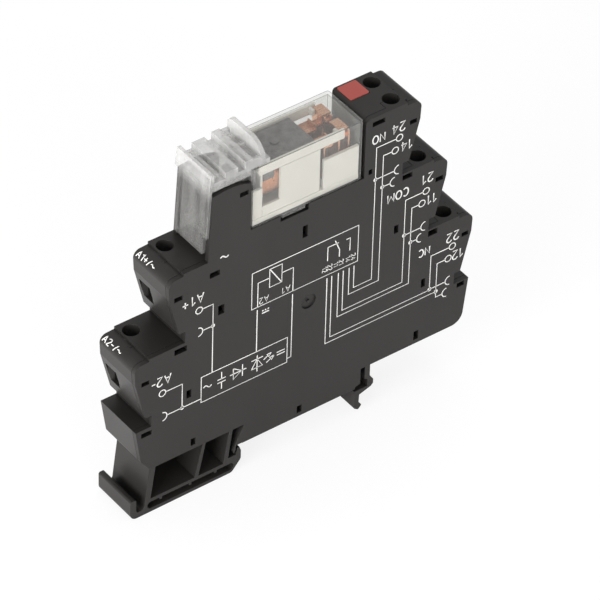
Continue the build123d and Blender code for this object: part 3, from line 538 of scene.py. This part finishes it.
def new_tree(name, sizes, places=()):
    """Geometry nodes tree with a geometry input, named sizes and places; gives the tree and its two ends."""
    tree = bpy.data.node_groups.new(name, "GeometryNodeTree")
    tree.interface.new_socket("Geometry", in_out="INPUT", socket_type="NodeSocketGeometry")
    for label in sizes:
        tree.interface.new_socket(label, in_out="INPUT", socket_type="NodeSocketFloat")
    for label in places:
        tree.interface.new_socket(label, in_out="INPUT", socket_type="NodeSocketVector")
    tree.interface.new_socket("Geometry", in_out="OUTPUT", socket_type="NodeSocketGeometry")
    return tree, tree.nodes.new("NodeGroupInput"), tree.nodes.new("NodeGroupOutput")


def painted(tree, leave, geometry, material):
    """Ends a tree: its copies made real and its material set."""
    real = tree.nodes.new("GeometryNodeRealizeInstances")
    tree.links.new(geometry, real.inputs["Geometry"])
    paint = tree.nodes.new("GeometryNodeSetMaterial")
    paint.inputs["Material"].default_value = material
    tree.links.new(real.outputs["Geometry"], paint.inputs["Geometry"])
    tree.links.new(paint.outputs["Geometry"], leave.inputs["Geometry"])


def line_tree(material, bent=False):
    """Geometry nodes that lay a flat ribbon of ink along every line, on the face or round a bend."""
    tree, enter, leave = new_tree("inked_line", ["Line width", "Ink film"], ["Bend centre"] if bent else [])
    add = tree.nodes.new
    link = tree.links.new
    profile = add("GeometryNodeCurvePrimitiveQuadrilateral")
    link(enter.outputs["Ink film"], profile.inputs["Width"])
    link(enter.outputs["Line width"], profile.inputs["Height"])
    level = add("GeometryNodeSetCurveNormal")
    level.mode = "FREE"
    level.inputs["Normal"].default_value = (0, -1, 0)
    if bent:
        outward = add("ShaderNodeVectorMath")
        outward.operation = "SUBTRACT"
        link(add("GeometryNodeInputPosition").outputs[0], outward.inputs[0])
        link(enter.outputs["Bend centre"], outward.inputs[1])
        square = add("ShaderNodeVectorMath")
        square.operation = "MULTIPLY"
        square.inputs[1].default_value = (1, 0, 1)
        link(outward.outputs[0], square.inputs[0])
        link(square.outputs[0], level.inputs["Normal"])
    link(enter.outputs["Geometry"], level.inputs["Curve"])
    ribbon = add("GeometryNodeCurveToMesh")
    ribbon.inputs["Fill Caps"].default_value = True
    link(level.outputs["Curve"], ribbon.inputs["Curve"])
    link(profile.outputs["Curve"], ribbon.inputs["Profile Curve"])
    painted(tree, leave, ribbon.outputs["Mesh"], material)
    return tree


def dot_tree(material):
    """Geometry nodes that lay a thin disc of ink on every point."""
    tree, enter, leave = new_tree("inked_dot", ["Dot radius", "Ink film"])
    add = tree.nodes.new
    link = tree.links.new
    disc = add("GeometryNodeMeshCylinder")
    disc.inputs["Vertices"].default_value = dot_sides
    link(enter.outputs["Dot radius"], disc.inputs["Radius"])
    link(enter.outputs["Ink film"], disc.inputs["Depth"])
    copies = add("GeometryNodeInstanceOnPoints")
    copies.inputs["Rotation"].default_value = (pi / 2, 0, 0)
    link(enter.outputs["Geometry"], copies.inputs["Points"])
    link(disc.outputs["Mesh"], copies.inputs["Instance"])
    painted(tree, leave, copies.outputs["Instances"], material)
    return tree


def settled(piece, name):
    """A plain mesh object from a piece with its modifiers applied."""
    bpy.context.view_layer.update()
    shown = piece.evaluated_get(bpy.context.evaluated_depsgraph_get())
    mesh = bpy.data.meshes.new_from_object(shown)
    bpy.data.objects.remove(piece)
    plain = bpy.data.objects.new(name, mesh)
    collection.objects.link(plain)
    return plain


def grown(piece, tree, name, **values):
    """The plain mesh that a tree makes from a piece."""
    modifier = piece.modifiers.new("shape", "NODES")
    modifier.node_group = tree
    for key, value in values.items():
        modifier[input_key(tree, key.replace("_", " "))] = value
    return settled(piece, name)


def joined(pieces, name):
    """One mesh object out of several, with its place in its mesh."""
    bpy.ops.object.select_all(action="DESELECT")
    for piece in pieces:
        piece.select_set(True)
    bpy.context.view_layer.objects.active = pieces[0]
    bpy.ops.object.join()
    whole = bpy.context.view_layer.objects.active
    whole.name = name
    return whole


def inked(tree, name, lines, width, closed=False, place=on_face, **bend):
    """Mesh of printed lines."""
    curve = poly_curve(name, lines, closed, place)
    return grown(curve, tree, name, Line_width=width * mm, Ink_film=ink_film * mm, **bend)


def printed_dots():
    """Mesh of the dots where wires meet."""
    places = bpy.data.meshes.new("dots")
    places.from_pydata([on_face(x, z) for x, z in dots], [], [])
    points = bpy.data.objects.new("dots", places)
    collection.objects.link(points)
    return grown(points, dot_tree(ink), "dots", Dot_radius=dot_radius * mm, Ink_film=ink_film * mm)


def printed_diagram():
    """Circuit diagram on the cover."""
    tree = line_tree(ink)
    lines = [shortened(wire, ring_radius) for wire in ring_wires]
    lines += fork_wires + coil_wires + contact_marks + supply_symbols() + [mouth(wire) for wire in fork_wires]
    loops = frames + [ring(*wire[0]) for wire in ring_wires]
    made = [
        inked(tree, "wires", lines, line_width),
        inked(tree, "loops", loops, line_width, True),
        printed_dots(),
    ]
    return joined(made, "printed_diagram")


def printed_labels():
    """Terminal marks on the cover, which read with the rail side up."""
    tree = line_tree(ink)
    made = [
        inked(tree, "labels", all_lettering(labels, pi), letter_width),
        inked(tree, "coil_labels", all_lettering(coil_labels, pi), small_width),
        inked(tree, "pin_labels", all_lettering(pin_labels, -pi / 2), small_width),
    ]
    return joined(made, "printed_labels")


# Marks round the upper edge of the coil blocks: words, and centre of the edge's rounding
block_edges = [("A1+/~", -33.811, 52.597), ("A2-/~", -42.311, 33.547)]
edge_rounding = 1.81
edge_letter_height = 1.6
edge_letters_y = 2.75
edge_letters_turn = 0.95
edge_step = 0.2


def finer(points, step):
    """A line with a point at least every step."""
    fine = [points[0]]
    for (xa, za), (xb, zb) in zip(points, points[1:]):
        parts = max(1, int(((xb - xa) ** 2 + (zb - za) ** 2) ** 0.5 / step + 0.999))
        fine += [(xa + (xb - xa) * i / parts, za + (zb - za) * i / parts) for i in range(1, parts + 1)]
    return fine


def on_edge_about(centre_x, centre_z):
    """Function that gives places round a rounded edge."""

    def on_edge(u, v):
        turn = edge_letters_turn + v / edge_rounding
        x = centre_x - edge_rounding * cos(turn)
        z = centre_z + edge_rounding * sin(turn)
        return (x * mm, (edge_letters_y - u) * mm, z * mm)

    return on_edge


def block_marks():
    """Marks of the coil terminals, wrapped round the rounded edges of their blocks."""
    tree = line_tree(ink, True)
    made = []
    for words, x, z in block_edges:
        lines = [finer(line, edge_step) for line in lettering(words, 0, 0, edge_letter_height, 0)]
        centre = (x * mm, 0, z * mm)
        mark = inked(tree, "block_marks", lines, mark_width, False, on_edge_about(x, z), Bend_centre=centre)
        made.append(mark)
    return joined(made, "block_marks")


# Wound coil

wire_pitch = 0.26
wire_radius = 0.13
wire_sides = 6
turn_steps = 28
drum_inset = 1.2 * wire_radius


def turns_tree(material):
    """Geometry nodes that wind a wire into turns along the coil."""
    tree, enter, leave = new_tree("wound_turns", ["Turns", "Winding radius", "Length", "Wire radius"])
    add = tree.nodes.new
    link = tree.links.new
    spiral = add("GeometryNodeCurveSpiral")
    spiral.inputs["Resolution"].default_value = turn_steps
    link(enter.outputs["Turns"], spiral.inputs["Rotations"])
    link(enter.outputs["Winding radius"], spiral.inputs["Start Radius"])
    link(enter.outputs["Winding radius"], spiral.inputs["End Radius"])
    link(enter.outputs["Length"], spiral.inputs["Height"])
    profile = add("GeometryNodeCurvePrimitiveCircle")
    profile.inputs["Resolution"].default_value = wire_sides
    link(enter.outputs["Wire radius"], profile.inputs["Radius"])
    wound = add("GeometryNodeCurveToMesh")
    wound.inputs["Fill Caps"].default_value = True
    link(spiral.outputs["Curve"], wound.inputs["Curve"])
    link(profile.outputs["Curve"], wound.inputs["Profile Curve"])
    painted(tree, leave, wound.outputs["Mesh"], material)
    return tree


def coil_turns(low, high):
    """Wire wound inside the winding's box, which goes from its lowest to its highest corner."""
    length = high[0] - low[0] - 2 * wire_radius * mm
    empty = bpy.data.objects.new("coil", bpy.data.meshes.new("coil"))
    collection.objects.link(empty)
    coil = grown(
        empty,
        turns_tree(wire),
        "wound_coil",
        Turns=length / (wire_pitch * mm),
        Winding_radius=(high[1] - low[1]) / 2 - wire_radius * mm,
        Length=length,
        Wire_radius=wire_radius * mm,
    )
    start = Matrix.Translation((low[0] + wire_radius * mm, (low[1] + high[1]) / 2, (low[2] + high[2]) / 2))
    coil.data.transform(start @ Matrix.Rotation(pi / 2, 4, "Y"))
    return coil


def coil_drum(low, high):
    """Plain winding made thinner, to lie under the turns."""
    drum = bpy.data.objects.new("drum", nodes["coil_winding"].data.copy())
    centre = Vector(((low[0] + high[0]) / 2, (low[1] + high[1]) / 2, (low[2] + high[2]) / 2))
    thickness = high[1] - low[1]
    shrink = (thickness - 2 * drum_inset * mm) / thickness
    smaller = Matrix.Diagonal((1, shrink, shrink, 1))
    drum.data.transform(Matrix.Translation(centre) @ smaller @ Matrix.Translation(-centre))
    drum.data.materials.clear()
    drum.data.materials.append(wire)
    collection.objects.link(drum)
    return drum


def wound_coil():
    """Turns of enamelled wire in the place of the plain winding."""
    corners = [vertex.co for vertex in nodes["coil_winding"].data.vertices]
    low = [min(corner[i] for corner in corners) for i in range(3)]
    high = [max(corner[i] for corner in corners) for i in range(3)]
    return joined([coil_turns(low, high), coil_drum(low, high)], "wound_coil")


# Stage, lights and camera

camera_place = (-0.52928, -0.69207, 0.77789)
camera_right = (0.80399, -0.59420, 0.02270)
camera_up = (0.37398, 0.53496, 0.75760)
camera_back = (-0.46231, -0.60062, 0.65232)
camera_lens = 324.67
sensor_width = 36
sight_limit = 20
light_aim = Vector((0, 0, 0.035))
floor_half = 3.0
white_share = 0.82
world_strength = 0.68


def lower_floor():
    """Pale floor under the module, bright to the camera and with its shadow."""
    finish = Finish("pale_floor")
    path = finish.node("ShaderNodeLightPath")
    matt = finish.surface(Base_Color=(0.86, 0.86, 0.86, 1), Roughness=0.9)
    glow = finish.node("ShaderNodeEmission", {"Color": (1, 1, 1, 1), "Strength": 1.0})
    seen = Level(finish, path.outputs["Is Camera Ray"]) * white_share
    material = finish.done(finish.mix(seen, matt, Level(finish, glow.outputs[0])))
    level = cad_box[0][2]
    mesh = bpy.data.meshes.new("floor")
    corners = [(x * floor_half, y * floor_half, level) for x, y in ((-1, -1), (1, -1), (1, 1), (-1, 1))]
    mesh.from_pydata(corners, [], [(0, 1, 2, 3)])
    mesh.materials.append(material)
    floor = bpy.data.objects.new("floor", mesh)
    collection.objects.link(floor)


def soft_world():
    """Even white light all round."""
    world = bpy.data.worlds.new("studio")
    bpy.context.scene.world = world
    world.use_nodes = True
    ground = world.node_tree.nodes["Background"]
    ground.inputs["Color"].default_value = (1, 1, 1, 1)
    ground.inputs["Strength"].default_value = world_strength


def soft_light(name, place, size, watts):
    """Square area light that faces the module."""
    lamp = bpy.data.lights.new(name, "AREA")
    lamp.size = size
    lamp.energy = watts
    holder = bpy.data.objects.new(name, lamp)
    holder.location = place
    direction = light_aim - Vector(place)
    holder.rotation_euler = direction.to_track_quat("-Z", "Y").to_euler()
    collection.objects.link(holder)


def viewing_camera():
    """Camera at the viewing angle."""
    lens = bpy.data.cameras.new("camera")
    lens.lens = camera_lens
    lens.sensor_width = sensor_width
    lens.clip_end = sight_limit
    holder = bpy.data.objects.new("camera", lens)
    columns = Matrix((camera_right, camera_up, camera_back)).transposed()
    holder.matrix_world = Matrix.Translation(camera_place) @ columns.to_4x4()
    collection.objects.link(holder)
    bpy.context.scene.camera = holder


viewing_camera()
lower_floor()
soft_world()
soft_light("left_light", (-0.9, -0.25, 0.25), 0.6, 15)
soft_light("front_light", (-0.2, -1.1, 0.45), 0.7, 5)
soft_light("top_light", (0.3, 0.2, 1.2), 0.6, 2.5)
bpy.context.scene.view_settings.view_transform = "Standard"

dress_nodes()
for printed in (printed_diagram(), printed_labels(), block_marks()):
    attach(printed, "module")
coil = wound_coil()
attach(coil, "relay")
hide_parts("coil_winding")
